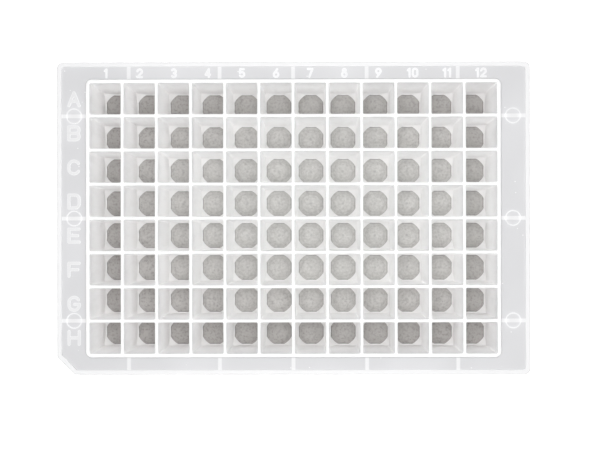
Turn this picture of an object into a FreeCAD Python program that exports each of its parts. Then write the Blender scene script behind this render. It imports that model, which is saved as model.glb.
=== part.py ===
"""96-well deep-well plate, 2.2 ml square wells with round bottoms, moulded as one piece.

Units are millimetres. The origin is the centre of the footprint on the surface it stands on,
+Z up, +X from column 1 to column 12 and +Y from row H to row A.
"""

import FreeCAD, Part
import math
import os

from FreeCAD import Vector

# ---- the well grid -------------------------------------------------------------------------
COLUMNS = 12
ROWS = 8
PITCH = 9.0  # between well centres, both ways
WELL_WALL = 0.9  # between two wells at the rim

# ---- overall sizes -------------------------------------------------------------------------
FOOTPRINT_X = 127.76  # base flange
FOOTPRINT_Y = 85.48
HEIGHT = 44.0  # base to the rim of the wells
FLANGE_STEP = 1.55  # from the edge of the flange in to the edge of the deck
CHAMFER = 4.7  # the cut corner beside H1, at the deck

# ---- the wells, from the inside --------------------------------------------------------------
WELL_CORNER = 0.3  # radius of the upright corners
WELL_DRAFT = 0.35  # degrees each side, closing downwards
MOUTH_BEVEL = 0.2  # where the walls meet the rim, at 45 degrees
CUP_DEPTH = 38.5  # rim to the edge of the round bottom
CUP_LEDGE = 0.175  # from the middle of a wall in to that edge
CUP_SPHERE = 4.75  # radius of the round bottom
FUNNEL_ANGLE = 26.0  # of the corner facets above the cup, from the vertical

# ---- the wells, from below -------------------------------------------------------------------
CUP_WALL = 1.2
FOOT_DROP = 0.67  # plastic between the lowest point inside and the flat under the cup
NUB_RADIUS = 0.6  # what is left of the gate in the middle of that flat
NUB_DROP = 0.3

# ---- rim, deck, skirt and flange ---------------------------------------------------------------
RIM_WALL = 1.1  # round the outside of the outer wells
RIM_CORNER = 1.6
RIM_ROUND = 0.3
RIM_HEIGHT = 1.6  # rim above the deck
DECK_ROUND = 0.25  # where the block meets the deck
DECK_THICKNESS = 1.3
DECK_CORNER = 1.5
LIP_WIDTH = 1.2  # raised border of the deck
LIP_HEIGHT = 0.4
LIP_INNER_CORNER = 1.0
LIP_ROUND = 0.15
SKIRT_WALL = 1.3
SKIRT_DRAFT = 0.8  # degrees, spreading downwards
SKIRT_INNER_CORNER = 0.8
CHAMFER_ROUND = 0.5
FLANGE_HEIGHT = 2.5
FLANGE_CORNER = 3.18
FLANGE_ROUND = 0.4
STACK_DEPTH = 1.5  # recess under the flange that drops over the deck of the plate below
STACK_CLEARANCE = 0.2

# ---- ribs under the deck -----------------------------------------------------------------------
RIB_THICKNESS = 1.0
RIB_DEPTH = 14.0
RIB_DRAFT = 0.5
LONG_SIDE_RIBS = (-43.4, -19.4, 0.0, 19.4, 43.4)  # where they stand along X, beside rows A and H
SHORT_SIDE_RIBS = (-3, 0, 3)  # beside columns 1 and 12, in rows of wells from the middle

# ---- marks on the deck ---------------------------------------------------------------------------
MARK_HEIGHT = 0.25
LETTER_HEIGHT = 4.2
LETTER_WIDTH = 3.5
LETTER_STROKE = 0.8
DIGIT_HEIGHT = 2.6
DIGIT_WIDTH = 1.75
ONE_WIDTH = 1.0
DIGIT_STROKE = 0.55
DIGIT_GAP = 0.3  # between the two digits of 10, 11 and 12
EJECTOR_RADIUS = 2.1  # witness ring left by each ejector pin
EJECTOR_LINE = 0.3
EJECTOR_HEIGHT = 0.12

# ---- how the shapes are cut ------------------------------------------------------------------------
SINK = 0.2  # how far an added mark or rib reaches into what carries it
PAST = 1.0  # how far a cutting shape runs on past what it cuts
SAME = 1e-6  # heights closer than this are the same
CENTRE = Vector(0, 0, 0)
UP = Vector(0, 0, 1)

# ---- derived places --------------------------------------------------------------------------------
MOUTH = PITCH - WELL_WALL  # square opening
DECK_X = FOOTPRINT_X - 2 * FLANGE_STEP
DECK_Y = FOOTPRINT_Y - 2 * FLANGE_STEP
DECK_TOP = HEIGHT - RIM_HEIGHT
DECK_UNDER = DECK_TOP - DECK_THICKNESS
CUP_EDGE_Z = HEIGHT - CUP_DEPTH
CUP_RADIUS = MOUTH / 2 - CUP_DEPTH * math.tan(math.radians(WELL_DRAFT)) - CUP_LEDGE
SPHERE_Z = CUP_EDGE_Z + math.sqrt(CUP_SPHERE**2 - CUP_RADIUS**2)
CUP_LOW_Z = SPHERE_Z - CUP_SPHERE
FOOT_Z = CUP_LOW_Z - FOOT_DROP
BLOCK_X = (COLUMNS - 1) * PITCH + MOUTH + 2 * RIM_WALL
BLOCK_Y = (ROWS - 1) * PITCH + MOUTH + 2 * RIM_WALL
CHAMFER_GROWTH = 2 - math.sqrt(2)  # a corner cut grows by this share of an outward offset
MARK_X = (DECK_X / 2 - LIP_WIDTH + BLOCK_X / 2) / 2  # middle of the channels round the block
MARK_Y = (DECK_Y / 2 - LIP_WIDTH + BLOCK_Y / 2) / 2


def tangent(degrees):
    return math.tan(math.radians(degrees))


def column_x(column):
    return (column - (COLUMNS - 1) / 2) * PITCH


def row_y(row):
    return ((ROWS - 1) / 2 - row) * PITCH


def frustum(low, size_x, size_y, high, growth):
    """Four-sided block with flat sides. Its size is given at the top, and each side stands
    out by growth for each millimetre further down."""
    top_x, top_y = size_x / 2, size_y / 2
    spread = growth * (high - low)
    base_x, base_y = top_x + spread, top_y + spread
    block = Part.makeWedge(-base_x, low, -base_y, -top_y, -top_x, base_x, high, base_y, top_y, top_x)
    block.rotate(CENTRE, Vector(1, 0, 0), 90)
    return block


def upright_edges(shape):
    """The edges that run from the bottom to the top of a block."""
    tall = 0.9 * shape.BoundBox.ZLength
    return [edge for edge in shape.Edges if edge.BoundBox.ZLength > tall]


def edges_at(shape, z):
    """The level edges at one height."""
    return [e for e in shape.Edges if abs(e.BoundBox.ZMin - z) < SAME and e.BoundBox.ZLength < SAME]


def rounded_frustum(low, size_x, size_y, high, growth, radius):
    block = frustum(low, size_x, size_y, high, growth)
    return block.makeFillet(radius, upright_edges(block))


def outline_block(low, size_x, size_y, high, growth, radius):
    """A rounded frustum with its H1 corner cut at 45 degrees, as far in from its own edge as
    the deck's is."""
    block = frustum(low, size_x, size_y, high, growth)

    def at_h1(edge):
        return edge.CenterOfMass.x < 0 and edge.CenterOfMass.y < 0

    block = block.makeFillet(radius, [e for e in upright_edges(block) if not at_h1(e)])
    offset = (size_x - DECK_X + size_y - DECK_Y) / 4
    cut = CHAMFER + offset * CHAMFER_GROWTH
    block = block.makeChamfer(cut, [e for e in upright_edges(block) if at_h1(e)])
    ends = [e for e in upright_edges(block) if at_h1(e)]
    return block.makeFillet(CHAMFER_ROUND, ends)


def bullet(offset, top):
    """The round lower end of a well as a turned shape, moved outwards by offset: a ball at the
    bottom and a cone above it that opens past the square's corners."""
    reach = PITCH + RIM_WALL  # further out than any corner of the block is from its cup
    ball = CUP_SPHERE + offset
    slope = tangent(FUNNEL_ANGLE)
    # the cone's line is r = at_zero + slope * z
    at_zero = CUP_RADIUS + offset / math.cos(math.radians(FUNNEL_ANGLE)) - slope * CUP_EDGE_Z
    # it meets the ball where r^2 + (z - SPHERE_Z)^2 = ball^2
    a = 1 + slope**2
    b = slope * at_zero - SPHERE_Z
    c = at_zero**2 + SPHERE_Z**2 - ball**2
    edge_z = (-b - math.sqrt(b * b - a * c)) / a
    edge_r = at_zero + slope * edge_z
    middle = math.atan2(edge_r, SPHERE_Z - edge_z) / 2
    low = Vector(0, 0, SPHERE_Z - ball)
    edge = Vector(edge_r, 0, edge_z)
    wide = Vector(reach, 0, (reach - at_zero) / slope)
    lid = Vector(reach, 0, max(top, wide.z + PAST))
    arc = Part.Arc(low, Vector(ball * math.sin(middle), 0, SPHERE_Z - ball * math.cos(middle)), edge)
    sides = [arc.toShape()]
    for start, end in ((edge, wide), (wide, lid), (lid, Vector(0, 0, lid.z)), (Vector(0, 0, lid.z), low)):
        sides.append(Part.makeLine(start, end))
    return Part.Face(Part.Wire(sides)).revolve(CENTRE, UP, 360)


def well_cavity():
    """The air in one well, with its bevelled mouth, on the origin's axis."""
    growth = -tangent(WELL_DRAFT)
    low = CUP_LOW_Z - PAST
    high = HEIGHT - MOUTH_BEVEL / 2  # it ends inside the bevel's own shape
    size = MOUTH + 2 * growth * (HEIGHT - high)
    shaft = rounded_frustum(low, size, size, high, growth, WELL_CORNER)
    wide = MOUTH + 2 * MOUTH_BEVEL
    corner = WELL_CORNER + MOUTH_BEVEL
    bevel = rounded_frustum(HEIGHT - 2 * MOUTH_BEVEL, wide, wide, HEIGHT, -1, corner)
    return shaft.common(bullet(0, HEIGHT)).fuse(bevel)


def air_below(row, column):
    """The air around the underside of one well's cup, out to its neighbours' or past the block."""
    x, y = column_x(column), row_y(row)
    beyond = RIM_WALL + PAST
    low_x = x - PITCH / 2 - (beyond if column == 0 else 0)
    high_x = x + PITCH / 2 + (beyond if column == COLUMNS - 1 else 0)
    low_y = y - PITCH / 2 - (beyond if row == ROWS - 1 else 0)
    high_y = y + PITCH / 2 + (beyond if row == 0 else 0)
    top = CUP_EDGE_Z + PITCH
    cell = Part.makeBox(high_x - low_x, high_y - low_y, top + PAST, Vector(low_x, low_y, -PAST))
    cup = bullet(CUP_WALL, top + PAST)
    cup = cup.cut(Part.makeBox(PITCH, PITCH, FOOT_Z + PAST, Vector(-PITCH / 2, -PITCH / 2, -PAST)))
    nub = Part.makeCylinder(NUB_RADIUS, NUB_DROP + SINK, Vector(0, 0, FOOT_Z - NUB_DROP))
    cup = cup.fuse(nub)
    cup.translate(Vector(x, y, 0))
    return cell.cut(cup)


def well_block():
    """The block of wells before they are opened, with a round cup under each."""
    growth = -tangent(WELL_DRAFT)
    block = rounded_frustum(0, BLOCK_X, BLOCK_Y, HEIGHT, growth, RIM_CORNER)
    block = block.makeFillet(RIM_ROUND, edges_at(block, HEIGHT))
    below = [air_below(row, column) for row in range(ROWS) for column in range(COLUMNS)]
    return block.cut(below)


def skirt():
    """The deck with its raised border, the skirt below it and the base flange."""
    growth = tangent(SKIRT_DRAFT)
    lip_top = DECK_TOP + LIP_HEIGHT
    back = 2 * growth * LIP_HEIGHT
    shell = outline_block(0, DECK_X - back, DECK_Y - back, lip_top, growth, DECK_CORNER)
    field_x, field_y = DECK_X - 2 * LIP_WIDTH, DECK_Y - 2 * LIP_WIDTH
    field = outline_block(DECK_TOP, field_x, field_y, lip_top + PAST, 0, LIP_INNER_CORNER)
    shell = shell.cut(field)
    shell = shell.makeFillet(LIP_ROUND, edges_at(shell, lip_top))
    flange = outline_block(0, FOOTPRINT_X, FOOTPRINT_Y, FLANGE_HEIGHT, 0, FLANGE_CORNER)
    flange = flange.makeFillet(FLANGE_ROUND, edges_at(flange, FLANGE_HEIGHT))
    shell = shell.fuse(flange)
    walls = 2 * (SKIRT_WALL - growth * DECK_THICKNESS)
    inner_x, inner_y = DECK_X - walls, DECK_Y - walls
    inner = outline_block(-PAST, inner_x, inner_y, DECK_UNDER, growth, SKIRT_INNER_CORNER)
    room_x, room_y = DECK_X + 2 * STACK_CLEARANCE, DECK_Y + 2 * STACK_CLEARANCE
    recess = outline_block(-PAST, room_x, room_y, STACK_DEPTH, 0, DECK_CORNER + STACK_CLEARANCE)
    return shell.cut([inner, recess])


def ribs():
    """Ribs that tie the block to the skirt: each starts and ends inside the two walls."""
    growth = tangent(SKIRT_DRAFT)
    low = DECK_UNDER - RIB_DEPTH

    def rib(block, deck):
        near = block / 2 - RIM_WALL / 2
        far = deck / 2 + growth * (DECK_TOP - low) - SKIRT_WALL / 2
        one = frustum(low, far - near, RIB_THICKNESS, DECK_UNDER + SINK, -tangent(RIB_DRAFT))
        one.translate(Vector((near + far) / 2, 0, 0))
        return one

    made = []
    for turn in (0, 180):
        for row in SHORT_SIDE_RIBS:
            one = rib(BLOCK_X, DECK_X)
            one.rotate(CENTRE, UP, turn)
            one.translate(Vector(0, row * PITCH, 0))
            made.append(one)
        for x in LONG_SIDE_RIBS:
            one = rib(BLOCK_Y, DECK_Y)
            one.rotate(CENTRE, UP, turn + 90)
            one.translate(Vector(x, 0, 0))
            made.append(one)
    return made


def bar(start, end, stroke, height):
    """A straight stroke with round ends."""
    (x0, y0), (x1, y1) = start, end
    length = math.hypot(x1 - x0, y1 - y0)
    middle = Part.makeBox(length, stroke, height, Vector(0, -stroke / 2, 0))
    middle.rotate(CENTRE, UP, math.degrees(math.atan2(y1 - y0, x1 - x0)))
    middle.translate(Vector(x0, y0, 0))
    ends = [Part.makeCylinder(stroke / 2, height, Vector(x, y, 0)) for x, y in (start, end)]
    return [middle] + ends


def bend(centre, radius, start, end, stroke, height):
    """A round stroke, anticlockwise from one angle to the other, with round ends."""
    x, y = centre
    ring = Part.makeCylinder(radius + stroke / 2, height, CENTRE, UP, end - start)
    ring = ring.cut(Part.makeCylinder(radius - stroke / 2, height))
    ring.rotate(CENTRE, UP, start)
    ring.translate(Vector(x, y, 0))
    made = [ring]
    if end - start < 360:
        for angle in (math.radians(start), math.radians(end)):
            at = Vector(x + radius * math.cos(angle), y + radius * math.sin(angle), 0)
            made.append(Part.makeCylinder(stroke / 2, height, at))
    return made


def glyph_strokes(name, w, t):
    """The strokes of a letter or digit whose centre lines fill -w..w and -t..t. A bar is two
    points, and a bend is its centre, radius and two angles."""
    half, top, low = t / 2, t - w, w - t
    round_c = [((0, top), w, 30, 180), ((-w, top), (-w, low)), ((0, low), w, 180, 330)]
    stem = [((-w, -t), (-w, t))]
    corner = 0.8 * w
    bowl = 0.62 * w
    strokes = {
        "A": [((-w, -t), (0, t)), ((0, t), (w, -t)), ((-0.62 * w, -0.3 * t), (0.62 * w, -0.3 * t))],
        "B": stem
        + [((-w, y), (w - half, y)) for y in (-t, 0, t)]
        + [((w - half, y), half, -90, 90) for y in (-half, half)],
        "C": round_c,
        "D": stem
        + [((-w, y), (w - corner, y)) for y in (-t, t)]
        + [((w - corner, t - corner), corner, 0, 90), ((w - corner, corner - t), corner, 270, 360)]
        + [((w, corner - t), (w, t - corner))],
        "E": stem + [((-w, t), (w, t)), ((-w, 0), (0.7 * w, 0)), ((-w, -t), (w, -t))],
        "F": stem + [((-w, t), (w, t)), ((-w, 0), (0.7 * w, 0))],
        "G": round_c[:2]
        + [((0, low), w, 180, 360), ((w, low), (w, -0.08 * t)), ((w, -0.08 * t), (0.1 * w, -0.08 * t))],
        "H": stem + [((w, -t), (w, t)), ((-w, 0), (w, 0))],
        "1": [((w, -t), (w, t)), ((w, t), (-w, 0.6 * t))],
        "2": [((0, top), w, -35, 170), ((0.82 * w, top - 0.57 * w), (-w, -t)), ((-w, -t), (w, -t))],
        "3": [((0, half), half, -90, 150), ((0, -half), half, -150, 90)],
        "4": [((0.45 * w, -t), (0.45 * w, t)), ((0.45 * w, t), (-w, -0.4 * t))]
        + [((-w, -0.4 * t), (w, -0.4 * t))],
        "5": [((0.8 * w, t), (-0.75 * w, t)), ((-0.75 * w, t), (-0.9 * w, 0.05 * t))]
        + [((0, low + 0.1 * w), w, -150, 125)],
        "6": [((0, low), w, 0, 360), ((0.55 * w, t), (-0.85 * w, low + 0.5 * w))],
        "7": [((-w, t), (w, t)), ((w, t), (-0.35 * w, -t))],
        "8": [((0, t - bowl), bowl, 0, 360), ((0, w - t), w, 0, 360)],
        "9": [((0, top), w, 0, 360), ((-0.55 * w, -t), (0.85 * w, top - 0.5 * w))],
        "0": [((0, top), w, 0, 180), ((0, low), w, 180, 360), ((-w, low), (-w, top)), ((w, low), (w, top))],
    }
    return strokes[name]


def glyph(name, width, tall, stroke, height):
    """A raised letter or digit, centred on the origin, standing on z = 0."""
    parts = []
    for each in glyph_strokes(name, (width - stroke) / 2, (tall - stroke) / 2):
        if len(each) == 2:
            parts += bar(*each, stroke, height)
        else:
            parts += bend(*each, stroke, height)
    return parts[0].fuse(parts[1:]).removeSplitter()


def marks():
    """The raised letters and numbers, and the witness rings of the ejector pins."""
    height = MARK_HEIGHT + SINK
    low = DECK_TOP - SINK
    made = []
    for row in range(ROWS):
        letter = glyph(chr(ord("A") + row), LETTER_WIDTH, LETTER_HEIGHT, LETTER_STROKE, height)
        letter.translate(Vector(-MARK_X, row_y(row), low))
        made.append(letter)
    for column in range(COLUMNS):
        digits = str(column + 1)
        widths = [ONE_WIDTH if name == "1" else DIGIT_WIDTH for name in digits]
        left = column_x(column) - (sum(widths) + DIGIT_GAP * (len(digits) - 1)) / 2
        for name, width in zip(digits, widths):
            digit = glyph(name, width, DIGIT_HEIGHT, DIGIT_STROKE, height)
            digit.translate(Vector(left + width / 2, MARK_Y, low))
            made.append(digit)
            left += width + DIGIT_GAP
    for side in (-1, 1):
        for row in SHORT_SIDE_RIBS:
            at = Vector(side * MARK_X, row * PITCH, low)
            ring = Part.makeCylinder(EJECTOR_RADIUS, EJECTOR_HEIGHT + SINK, at)
            made.append(ring.cut(Part.makeCylinder(EJECTOR_RADIUS - EJECTOR_LINE, 2 * height, at)))
    return made


def well_plate():
    """The whole moulding as one solid."""
    plate = skirt().fuse([well_block()] + ribs())
    # the block meets the deck just inside this size, and the raised border is outside it
    foot_x, foot_y = BLOCK_X / 2 + DECK_ROUND, BLOCK_Y / 2 + DECK_ROUND

    def round_the_block(edge):
        at = edge.CenterOfMass
        return abs(at.x) < foot_x and abs(at.y) < foot_y

    plate = plate.makeFillet(DECK_ROUND, [e for e in edges_at(plate, DECK_TOP) if round_the_block(e)])
    cavity = well_cavity()
    wells = []
    for row in range(ROWS):
        for column in range(COLUMNS):
            well = cavity.copy()
            well.translate(Vector(column_x(column), row_y(row), 0))
            wells.append(well)
    return plate.cut(wells).fuse(marks())


def main():
    os.makedirs("parts", exist_ok=True)
    well_plate().exportStep("parts/well_plate.step")


if __name__ == "__main__":
    main()
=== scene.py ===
"""Looks for a 96-well deep-well plate, moulded in one piece from natural polypropylene and seen
from straight above on white.

Metres, in the frame's own axes: +X runs from column 1 to column 12, +Y from row H to row A, and
the plate stands on z = 0. Patterns in the materials are laid out in millimetres.
"""

import math

import bpy
from mathutils import Euler, Matrix, Vector


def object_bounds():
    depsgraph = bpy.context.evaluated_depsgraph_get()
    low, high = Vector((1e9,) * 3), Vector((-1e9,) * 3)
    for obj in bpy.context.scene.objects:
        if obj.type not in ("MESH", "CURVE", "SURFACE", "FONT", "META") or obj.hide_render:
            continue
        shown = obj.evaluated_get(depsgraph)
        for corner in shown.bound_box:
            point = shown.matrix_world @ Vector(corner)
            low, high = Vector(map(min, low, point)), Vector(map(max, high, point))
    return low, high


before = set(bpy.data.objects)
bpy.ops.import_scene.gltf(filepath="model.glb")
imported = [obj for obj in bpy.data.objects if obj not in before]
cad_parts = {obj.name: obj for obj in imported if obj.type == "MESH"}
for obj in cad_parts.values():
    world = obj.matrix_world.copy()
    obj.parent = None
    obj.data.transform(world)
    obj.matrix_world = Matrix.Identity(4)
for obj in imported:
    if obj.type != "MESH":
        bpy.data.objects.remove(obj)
cad_low, cad_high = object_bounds()

MM = 0.001
DIAGONAL = math.sqrt(0.5)

# The plate's own sizes in millimetres: what its plastic looks like goes by where it is.
HEIGHT = cad_high.z / MM
PITCH = 9.0
BLOCK = (54.65, 36.65)  # half the block of wells, at the rim
BLOCK_CORNER = 1.6
DECK_TOP = HEIGHT - 1.6
DECK = (62.33, 41.19)  # half the deck
DECK_CORNER = 1.5
DECK_CHAMFER = 4.7  # its cut corner, beside H1
LIP_HEIGHT = 0.4  # of its raised border
RIB_HALF = 0.5
RIB_DEPTH = 15.3  # below the deck's top
LONG_SIDE_RIBS = (0.0, 19.4, 43.4)  # from the middle, along X
SHORT_SIDE_RIBS = (0.0, 27.0)  # from the middle, along Y
MOUTH_BEVEL = 0.2

# Each well ends in a cup, part of a sphere, under the walls and the facets in their corners.
CUP_EDGE = HEIGHT - 38.5
CUP_RADIUS = 3.64
CUP_SPHERE = 4.75
SPHERE_Z = CUP_EDGE + math.sqrt(CUP_SPHERE**2 - CUP_RADIUS**2)
FOOT_RADIUS = 2.65  # the flat under each cup
WALL_FLATS = 3.47  # from the well's axis to where the walls cut the cup's circle
CORNER_FLATS = 3.7  # and to where the corner facets do
CUP_OUTER = 3.74  # how far the cup's own tone runs up the facets
FUNNEL = math.tan(math.radians(26.0))  # the facets open by this much a millimetre

# The grain of each pattern, in millimetres.
FROST = 2 / 3  # over the cups
FLOW = (2.0, 2.0, 50 / 3)  # down the walls
CLOUD = 20.0  # over the deck
SPECKS = 20 / 7  # from one speck on the deck to the next
SATIN = 1 / 3  # over all of it, coarser than the real satin, which is too fine to show

# Painted shade: the wells are painted lightest about here, near the middle, and painted darker
# over this far in X and Y.
PAINTED_LIGHTEST = (10.0, 3.0, 0.0)
PAINTED_SHADE_SPREAD = (60.0, 38.0)

# Camera, lamp and floor, with places in millimetres.
CAMERA_PLACE = (7.40, -5.07, HEIGHT + 548.98)
CAMERA_TILT = (-0.30, -0.71, 0.09)  # degrees
LAMP_PLACE = (7.4, -5.1, 664.0)
LAMP_SIZE = 160.0
LAMP_WATTS = 2.7
FLOOR_HALF = 2000.0
BOUNCES = 256


def linear(code):
    """An sRGB hex colour as linear red, green, blue and an alpha of 1."""
    parts = [int(code[i : i + 2], 16) / 255 for i in (1, 3, 5)]
    parts = [c / 12.92 if c <= 0.04045 else ((c + 0.055) / 1.055) ** 2.4 for c in parts]
    return (*parts, 1.0)


def node(tree, kind, **given):
    """Adds a node with its settings and inputs. An input goes by its name, with _ for a space, or
    by i and its number. It is a value, a socket, or a node, whose first output it takes."""
    made = tree.nodes.new("ShaderNode" + kind)
    for name, value in given.items():
        if name in made.bl_rna.properties:
            setattr(made, name, value)
            continue
        socket = made.inputs[int(name[1:]) if name[1:].isdigit() else name.replace("_", " ")]
        if isinstance(value, bpy.types.Node):
            value = value.outputs[0]
        if isinstance(value, bpy.types.NodeSocket):
            tree.links.new(value, socket)
        else:
            socket.default_value = value
    return made


def new_material(name):
    material = bpy.data.materials.new(name)
    material.use_nodes = True
    material.node_tree.nodes.clear()
    return material, material.node_tree


def paint(tree, ground, layers):
    """Lays colours over a ground. A layer is its colour, how strong it is and where it shows: each
    place is a value and the two numbers between which the layer fades in."""
    colour = linear(ground)
    for code, strength, places in layers:
        share = strength
        for value, start, end in places:
            here = node(
                tree,
                "MapRange",
                interpolation_type="SMOOTHSTEP",
                Value=value,
                From_Min=start,
                From_Max=end,
            )
            share = node(tree, "Math", operation="MULTIPLY", i0=here, i1=share)
        mixed = node(tree, "Mix", data_type="RGBA", i0=share, i6=colour, i7=linear(code))
        colour = mixed.outputs[2]
    return colour


def kept_to(place, layers):
    """The same layers, shown in one place only."""
    return [(code, strength, [place, *places]) for code, strength, places in layers]


def beyond(tree, folded, half, corner):
    """How far a point lies outside an upright box with round corners about the z axis, and minus
    the corner's radius well inside it. The point comes with its signs taken off."""
    straight = (half[0] - corner, half[1] - corner, HEIGHT)
    past = node(tree, "VectorMath", operation="SUBTRACT", i0=folded, i1=straight)
    past = node(tree, "VectorMath", operation="MAXIMUM", i0=past, i1=(0.0, 0.0, 0.0))
    reach = node(tree, "VectorMath", operation="LENGTH", i0=past).outputs["Value"]
    return node(tree, "Math", operation="SUBTRACT", i0=reach, i1=corner)


def off_nearest(tree, value, places):
    """How far a distance from the middle is from the nearest of some places."""
    best = None
    for place in places:
        gap = node(tree, "Math", operation="SUBTRACT", i0=value, i1=place)
        gap = node(tree, "Math", operation="ABSOLUTE", i0=gap)
        best = node(tree, "Math", operation="MINIMUM", i0=best, i1=gap) if best else gap
    return best


def in_its_well(tree, spot):
    """Where a point lies in its own well, from the well's axis: in a straight line, towards the
    nearest wall, and towards the nearest corner."""
    cell = node(tree, "VectorMath", operation="SCALE", i0=spot, Scale=1 / PITCH)
    cell = node(tree, "VectorMath", operation="FRACTION", i0=cell)
    cell = node(tree, "VectorMath", operation="SUBTRACT", i0=cell, i1=(0.5, 0.5, 0.5))
    cell = node(tree, "VectorMath", operation="MULTIPLY", i0=cell, i1=(PITCH, PITCH, 0.0))
    radius = node(tree, "VectorMath", operation="LENGTH", i0=cell).outputs["Value"]
    cell = node(tree, "VectorMath", operation="ABSOLUTE", i0=cell)
    x, y = node(tree, "SeparateXYZ", i0=cell).outputs[:2]
    wall = node(tree, "Math", operation="MAXIMUM", i0=x, i1=y)
    corner = node(tree, "Math", operation="ADD", i0=x, i1=y)
    corner = node(tree, "Math", operation="MULTIPLY", i0=corner, i1=DIAGONAL)
    return radius, wall, corner


def from_painted_lightest(tree, spot):
    """How far a point lies, seen from above, from where the wells are painted lightest: 0 is
    there, and 1 is on an ellipse round it. It sets how much painted shade the wells get."""
    away = node(tree, "VectorMath", operation="SUBTRACT", i0=spot, i1=PAINTED_LIGHTEST)
    share = (1 / PAINTED_SHADE_SPREAD[0], 1 / PAINTED_SHADE_SPREAD[1], 0.0)
    away = node(tree, "VectorMath", operation="MULTIPLY", i0=away, i1=share)
    return node(tree, "VectorMath", operation="LENGTH", i0=away).outputs["Value"]


def deck_outline(tree, spot, folded):
    """How far a point lies outside the deck, with its cut corner."""
    outline = beyond(tree, folded, DECK, DECK_CORNER)
    towards = (-DIAGONAL, -DIAGONAL, 0.0)
    cut = node(tree, "VectorMath", operation="DOT_PRODUCT", i0=spot, i1=towards).outputs["Value"]
    reach = (sum(DECK) - DECK_CHAMFER) * DIAGONAL
    cut = node(tree, "Math", operation="SUBTRACT", i0=cut, i1=reach)
    return node(tree, "Math", operation="MAXIMUM", i0=outline, i1=cut)


def wall_layers(tree, spot, z, radius, away):
    """Faint flow marks, painted shade low down in the outer wells, the facets that funnel down to
    the cup, and painted shade on the bevel round the mouth."""
    drawn = node(tree, "VectorMath", operation="DIVIDE", i0=spot, i1=FLOW)
    flow = node(tree, "TexNoise", Vector=drawn, Scale=1.0, Detail=1.0)
    # the facets lie on a cone that rises from the cup's edge
    base = FUNNEL * CUP_EDGE - CUP_RADIUS
    cone = node(tree, "Math", operation="MULTIPLY_ADD", i0=z, i1=-FUNNEL, i2=base)
    cone = node(tree, "Math", operation="ADD", i0=cone, i1=radius)
    cone = node(tree, "Math", operation="ABSOLUTE", i0=cone)
    deep = (z, CUP_EDGE + 28.0, CUP_EDGE + 6.0)
    above_cup = (z, CUP_EDGE, CUP_EDGE + 0.3)
    bevel_top = (z, HEIGHT - 0.08, HEIGHT - 0.12)
    bevel_bottom = (z, HEIGHT - MOUTH_BEVEL - 0.1, HEIGHT - MOUTH_BEVEL)
    return [
        ("#FAFAFA", 0.8, [(flow, 0.5, 0.68)]),
        # painted shade: the walls darker low down, more so in the outer wells
        ("#F5F4F4", 0.25, [deep, (away, 0.5, 1.2)]),
        ("#F8F8F8", 1.0, [(cone, 0.12, 0.06), above_cup]),
        # painted shade: a grey band on the bevel round each mouth
        ("#9A9A9A", 0.6, [bevel_top, bevel_bottom]),
    ]


def cup_layers(tree, spot, folded, z, well, away):
    """The cups are frosted, and their grey is painted shade: the dark space under their thin
    bottoms seen through them. They have a darker ring over the foot and a darker middle. More
    painted shade darkens them away from the lightest wells, again in the outer rows, and beside
    the walls."""
    radius, wall, corner = well
    profile = node(tree, "CombineXYZ", X=radius, Y=z)
    middle = (0.0, SPHERE_Z, 0.0)
    ball = node(tree, "VectorMath", operation="DISTANCE", i0=profile, i1=middle).outputs["Value"]
    foot = off_nearest(tree, radius, [FOOT_RADIUS])
    inset = node(tree, "VectorMath", operation="SUBTRACT", i0=folded, i1=(*BLOCK, 0.0))
    x, y = node(tree, "SeparateXYZ", i0=inset).outputs[:2]
    inset = node(tree, "Math", operation="MAXIMUM", i0=x, i1=y)
    outer_rows_shade = (inset, -PITCH - 1.0, -PITCH + 1.0)
    frost = node(tree, "TexNoise", Vector=spot, Scale=1 / FROST, Detail=2.0, Roughness=0.6)
    cup = [
        (z, CUP_EDGE + 0.6, CUP_EDGE + 0.4),
        (ball, CUP_SPHERE + 0.5, CUP_SPHERE + 0.3),
        (wall, WALL_FLATS + 0.04, WALL_FLATS - 0.04),
        (corner, CORNER_FLATS + 0.08, CORNER_FLATS - 0.15),
        (radius, CUP_OUTER + 0.03, CUP_OUTER - 0.1),
    ]
    return [
        # painted shade: the grey of the cups, the dark space under their thin bottoms seen through
        # them
        ("#B9B8B6", 1.0, cup),
        ("#C4C3C1", 1.0, [*cup, (frost, 0.45, 0.66)]),
        ("#A8A6A4", 0.9, [*cup, (frost, 0.45, 0.28)]),
        ("#A5A4A2", 0.35, [*cup, (foot, 0.25, 0.0)]),
        ("#9A9A9A", 0.5, [*cup, (radius, 0.5, 0.2)]),
        # painted shade: darker away from the lightest wells, in the outer rows, and beside the
        # walls
        ("#ACA9A7", 1.0, [*cup, (away, 0.2, 1.5)]),
        ("#95928F", 0.25, [*cup, outer_rows_shade]),
        ("#7C7977", 0.6, [*cup, (away, 0.3, 1.3), (frost, 0.55, 0.25)]),
        ("#787674", 0.7, [*cup, (wall, WALL_FLATS - 0.3, WALL_FLATS - 0.05)]),
    ]


def rim_layers(z, outside):
    """The wells' flat rims, white, with a fine line of painted shade round the block."""
    line = [(outside, -0.3, -0.45), (outside, -0.95, -0.8)]
    return [
        ("#EFEFEF", 1.0, [(z, HEIGHT - 0.06, HEIGHT - 0.02)]),
        # painted shade: a fine grey line round the block's wall
        ("#EDEDEE", 0.8, [*line, (z, HEIGHT - 0.2, HEIGHT - 0.1)]),
    ]


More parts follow.
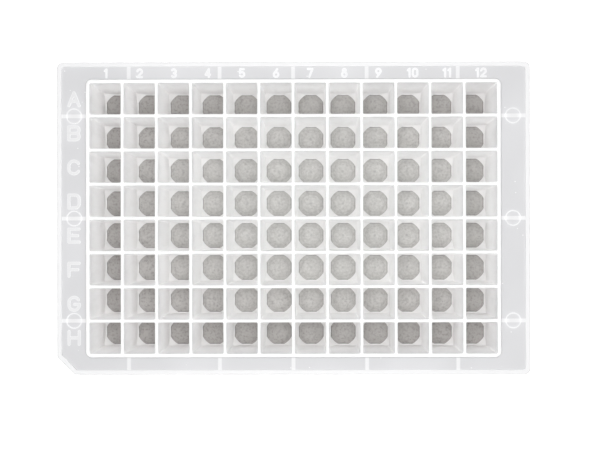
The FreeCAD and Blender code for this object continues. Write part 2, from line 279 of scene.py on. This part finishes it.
def deck_layers(tree, spot, folded, z, sharp):
    """The deck is painted greyer than the wells: painted shade, the dark space under the thin deck
    seen through it, with soft clouds and a few specks. Its border, letters, numbers and rings
    stand up lighter, with a line of painted shade in the creases where they meet the deck, and the
    ribs under it show through as pale bars, with less painted shade over them. The skirt below it
    is lighter too."""
    across, along = node(tree, "SeparateXYZ", i0=folded).outputs[:2]
    cloud = node(tree, "TexNoise", Vector=spot, Scale=1 / CLOUD, Detail=1.0)
    specks = node(tree, "TexVoronoi", Vector=spot, Scale=1 / SPECKS).outputs["Distance"]
    top = (z, DECK_TOP - 0.8, DECK_TOP - 0.3)
    skirt = (z, DECK_TOP - 0.3, DECK_TOP - 0.8)
    low = (z, DECK_TOP + 0.05, DECK_TOP + 0.01)
    raised = (z, DECK_TOP + 0.02, DECK_TOP + 0.1)
    border = (z, DECK_TOP + LIP_HEIGHT - 0.14, DECK_TOP + LIP_HEIGHT - 0.08)
    long_sides = (along, BLOCK[1], BLOCK[1] + 0.4)
    layers = [
        # painted shade: the deck greyed by the dark space under it, seen through the thin plastic
        ("#C1C1C3", 1.0, []),
        ("#C6C6C8", 1.0, [(cloud, 0.4, 0.65)]),
        ("#E6E6E7", 1.0, [skirt]),
        ("#F4F4F4", 0.6, [(specks, 0.07, 0.03)]),
        ("#CDCDCE", 1.0, [raised]),
        ("#D5D5D6", 1.0, [raised, long_sides]),
        # painted shade in the creases where raised things meet the deck
        ("#BDBDBF", 0.3, [sharp, low]),
    ]
    rib_end = DECK_TOP - RIB_DEPTH
    for distance, ribs, out, edge in (
        (along, SHORT_SIDE_RIBS, across, BLOCK[0]),
        (across, LONG_SIDE_RIBS, along, BLOCK[1]),
    ):
        gap = off_nearest(tree, distance, ribs)
        rib = [
            (gap, RIB_HALF + 0.15, RIB_HALF - 0.15),
            (out, edge - 0.1, edge + 0.1),
            (z, rib_end - 0.5, rib_end + 0.5),
        ]
        # over each rib: a pale bar on the deck, with less painted shade, and the rib's own lighter
        # plastic below it
        layers += [("#D7D7D8", 1.0, [*rib, top]), ("#EEEEEF", 0.8, [*rib, skirt])]
    return [*layers, ("#DADADB", 1.0, [border])]


def natural_polypropylene():
    """Natural polypropylene, injection moulded: milky, satin, and slightly see-through, so that
    light spreads a millimetre into it. Its thin edges look white partly from that and partly from
    a painted highlight."""
    material, tree = new_material("natural_polypropylene_moulded")
    place = node(tree, "TexCoord").outputs["Object"]
    spot = node(tree, "VectorMath", operation="SCALE", i0=place, Scale=1 / MM)
    folded = node(tree, "VectorMath", operation="ABSOLUTE", i0=spot)
    z = node(tree, "SeparateXYZ", i0=spot).outputs[2]
    well = in_its_well(tree, spot)
    away = from_painted_lightest(tree, spot)
    outside = beyond(tree, folded, BLOCK, BLOCK_CORNER)
    outline = deck_outline(tree, spot, folded)

    # sharp edges are where a rounded edge's normal would leave the face's own
    rounded = node(tree, "Bevel", samples=4, Radius=0.25 * MM)
    flat = node(tree, "NewGeometry").outputs["Normal"]
    edge = node(tree, "VectorMath", operation="DOT_PRODUCT", i0=rounded, i1=flat)
    sharp = (edge.outputs["Value"], 0.995, 0.9)

    wells = wall_layers(tree, spot, z, well[0], away)
    wells += cup_layers(tree, spot, folded, z, well, away)
    wells += rim_layers(z, outside)
    in_block = (outside, 0.1, -0.1)
    on_deck = (outside, -0.1, 0.1)
    layers = kept_to(in_block, wells)
    layers += kept_to(on_deck, deck_layers(tree, spot, folded, z, sharp))
    layers += [
        # painted highlight along every sharp edge above the deck's top
        ("#FDFDFD", 0.35, [sharp, (z, DECK_TOP + 0.05, DECK_TOP + 0.1)]),
        # painted shade: a thin grey line round the deck's outer edge
        ("#CCCCCC", 0.7, [(outline, -0.22, -0.12), (z, DECK_TOP - 0.8, DECK_TOP - 0.3)]),
    ]

    # duller in the wells than on the deck
    roughness = node(
        tree,
        "MapRange",
        interpolation_type="SMOOTHSTEP",
        Value=outside,
        From_Min=-0.1,
        From_Max=0.1,
        To_Min=0.8,
        To_Max=0.45,
    )
    satin = node(tree, "TexNoise", Vector=spot, Scale=1 / SATIN, Detail=1.0)
    surface = node(
        tree,
        "BsdfPrincipled",
        subsurface_method="BURLEY",
        Base_Color=paint(tree, "#FFFFFF", layers),
        Roughness=roughness,
        Normal=node(tree, "Bump", Strength=0.12, Distance=0.05 * MM, Height=satin),
        IOR=1.49,
        Subsurface_Weight=1.0,
        Subsurface_Radius=(1.0, 1.0, 1.0),
        Subsurface_Scale=1.0 * MM,
    )
    node(tree, "OutputMaterial", Surface=surface)
    return material


def white_card():
    """White card, matt: plain white with the plate's soft shadow on it. A glow for the camera
    alone takes it up to the white of the surround."""
    material, tree = new_material("white_card")
    seen = node(tree, "LightPath").outputs["Is Camera Ray"]
    surface = node(
        tree,
        "BsdfPrincipled",
        Base_Color=linear("#F5F5F5"),
        Roughness=0.9,
        Emission_Color=(1.0, 1.0, 1.0, 1.0),
        Emission_Strength=node(tree, "Math", operation="MULTIPLY", i0=seen, i1=0.5),
    )
    node(tree, "OutputMaterial", Surface=surface)
    return material


def floor():
    mesh = bpy.data.meshes.new("floor")
    half = FLOOR_HALF * MM
    corners = [(-half, -half, 0), (half, -half, 0), (half, half, 0), (-half, half, 0)]
    mesh.from_pydata(corners, [], [(0, 1, 2, 3)])
    mesh.materials.append(white_card())
    sheet = bpy.data.objects.new("floor", mesh)
    bpy.context.scene.collection.objects.link(sheet)


def softbox():
    """A round lamp above the camera, whose light falls straight down into the wells."""
    lamp = bpy.data.lights.new("softbox", "AREA")
    lamp.shape = "DISK"
    lamp.size = LAMP_SIZE * MM
    lamp.energy = LAMP_WATTS
    box = bpy.data.objects.new("softbox", lamp)
    box.location = Vector(LAMP_PLACE) * MM
    bpy.context.scene.collection.objects.link(box)


def surround():
    """White to the camera and in reflections, and about half of that as light on the plate."""
    world = bpy.data.worlds.new("white_surround")
    world.use_nodes = True
    tree = world.node_tree
    tree.nodes.clear()
    path = node(tree, "LightPath").outputs
    seen = path["Is Camera Ray"]
    for ray in ("Is Glossy Ray", "Is Transmission Ray"):
        seen = node(tree, "Math", operation="MAXIMUM", i0=seen, i1=path[ray])
    level = node(tree, "MapRange", Value=seen, To_Min=0.475, To_Max=1.0)
    sky = node(tree, "Background", Color=(1.0, 1.0, 1.0, 1.0), Strength=level)
    node(tree, "OutputWorld", Surface=sky)
    bpy.context.scene.world = world


def camera():
    """Looks straight down on the plate from about half a metre, tilted by under a degree."""
    lens = bpy.data.cameras.new("camera")
    lens.sensor_width = 36.0
    lens.lens = 127.2
    lens.clip_start, lens.clip_end = 0.01, 10.0
    seen = bpy.data.objects.new("camera", lens)
    bpy.context.scene.collection.objects.link(seen)
    tilt = Euler([math.radians(turn) for turn in CAMERA_TILT], "XYZ").to_matrix()
    place = Matrix.Translation(Vector(CAMERA_PLACE) * MM)
    seen.matrix_world = place @ tilt.transposed().to_4x4()
    bpy.context.scene.camera = seen


plastic = natural_polypropylene()
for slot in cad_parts["well_plate"].material_slots:
    slot.material = plastic
floor()
softbox()
surround()
camera()
bpy.context.scene.view_settings.view_transform = "Standard"
# light gets down to the cups only after many turns between the walls
bpy.context.scene.cycles.max_bounces = BOUNCES
bpy.context.scene.cycles.diffuse_bounces = BOUNCES
bpy.context.scene.cycles.glossy_bounces = 32
